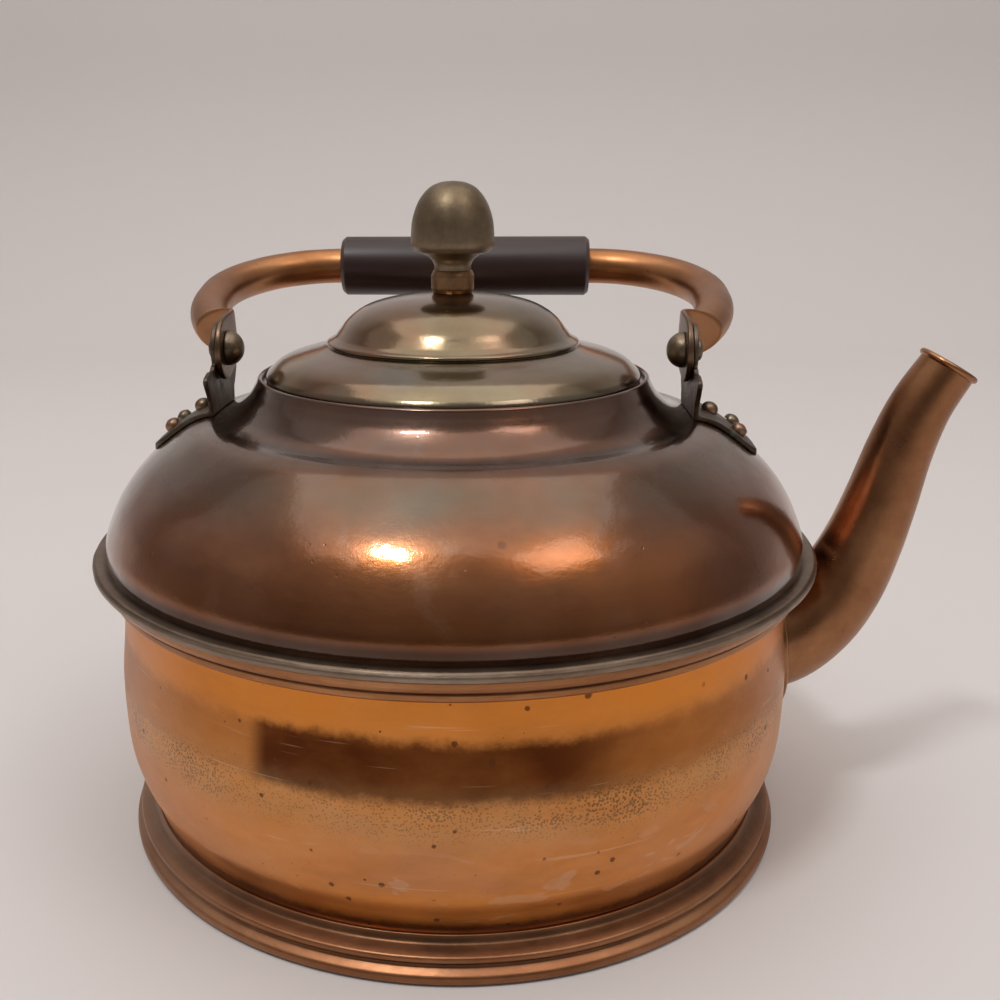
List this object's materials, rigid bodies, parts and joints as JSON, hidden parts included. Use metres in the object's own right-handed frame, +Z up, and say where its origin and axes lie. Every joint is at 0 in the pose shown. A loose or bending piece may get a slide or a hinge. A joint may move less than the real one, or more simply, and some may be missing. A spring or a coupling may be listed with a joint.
{
  "type": "kettle",
  "caption": "Round metal kettle with a domed shoulder, a stepped lift-off lid, a curved spout and a folding bail handle with a dark grip.",
  "frame": {"origin": "centre of the flat base, on the table under the axis of the round body", "axes": "+Z up along the body axis, +X towards the spout and along the two bail pivots, +Y towards the side the bail is folded to at rest"},
  "size_m": [0.2591, 0.215, 0.1907],
  "materials": {
    "bright_copper": "satin worn copper",
    "base_copper": "heat-darkened copper",
    "foot_copper": "satin copper with dark grooves",
    "tinned_belt": "dull tinned seam",
    "dark_copper": "glossy brown patina",
    "spout_copper": "satin brown copper",
    "tarnished_brass": "dark tarnish with verdigris in the corners",
    "rivet_brass": "greenish worn brass",
    "lid_brass": "glossy olive-grey brass",
    "knob_brass": "satin olive-brown brass",
    "bail_copper": "satin brown copper",
    "black_wood": "polished black wood"
  },
  "bodies": {
    "kettle": {"lower_body": "bright_copper", "bottom_plate": "base_copper", "foot_ring": "foot_copper", "waist_band": "bright_copper", "belt_ring": "tinned_belt", "upper_body": "dark_copper", "lid_seat": "dark_copper", "spout": "spout_copper", "spout_flange": "spout_copper", "spout_lip": "spout_copper", "ear_left": "tarnished_brass", "ear_right": "tarnished_brass", "ear_rivets_left": "rivet_brass", "ear_rivets_right": "rivet_brass", "pivot_rivet_left": "rivet_brass", "pivot_rivet_right": "rivet_brass"},
    "lid": {"lid_shell": "lid_brass", "lid_guide": "lid_brass", "knob": "knob_brass", "knob_collar": "knob_brass", "knob_screw": "knob_brass", "knob_washer": "knob_brass"},
    "bail": {"bail_tube": "bail_copper", "grip": "black_wood"}
  },
  "joints": [
    {"name": "bail_swing", "type": "hinge", "parent": "kettle", "child": "bail", "pos_m": [0, 0, 0.1427], "axis": [1, 0, 0], "range_deg": [0, 157.4]},
    {"name": "lid_lift", "type": "slide", "parent": "kettle", "child": "lid", "axis": [0, 0, 1], "range_m": [0, 0.06]}
  ]
}
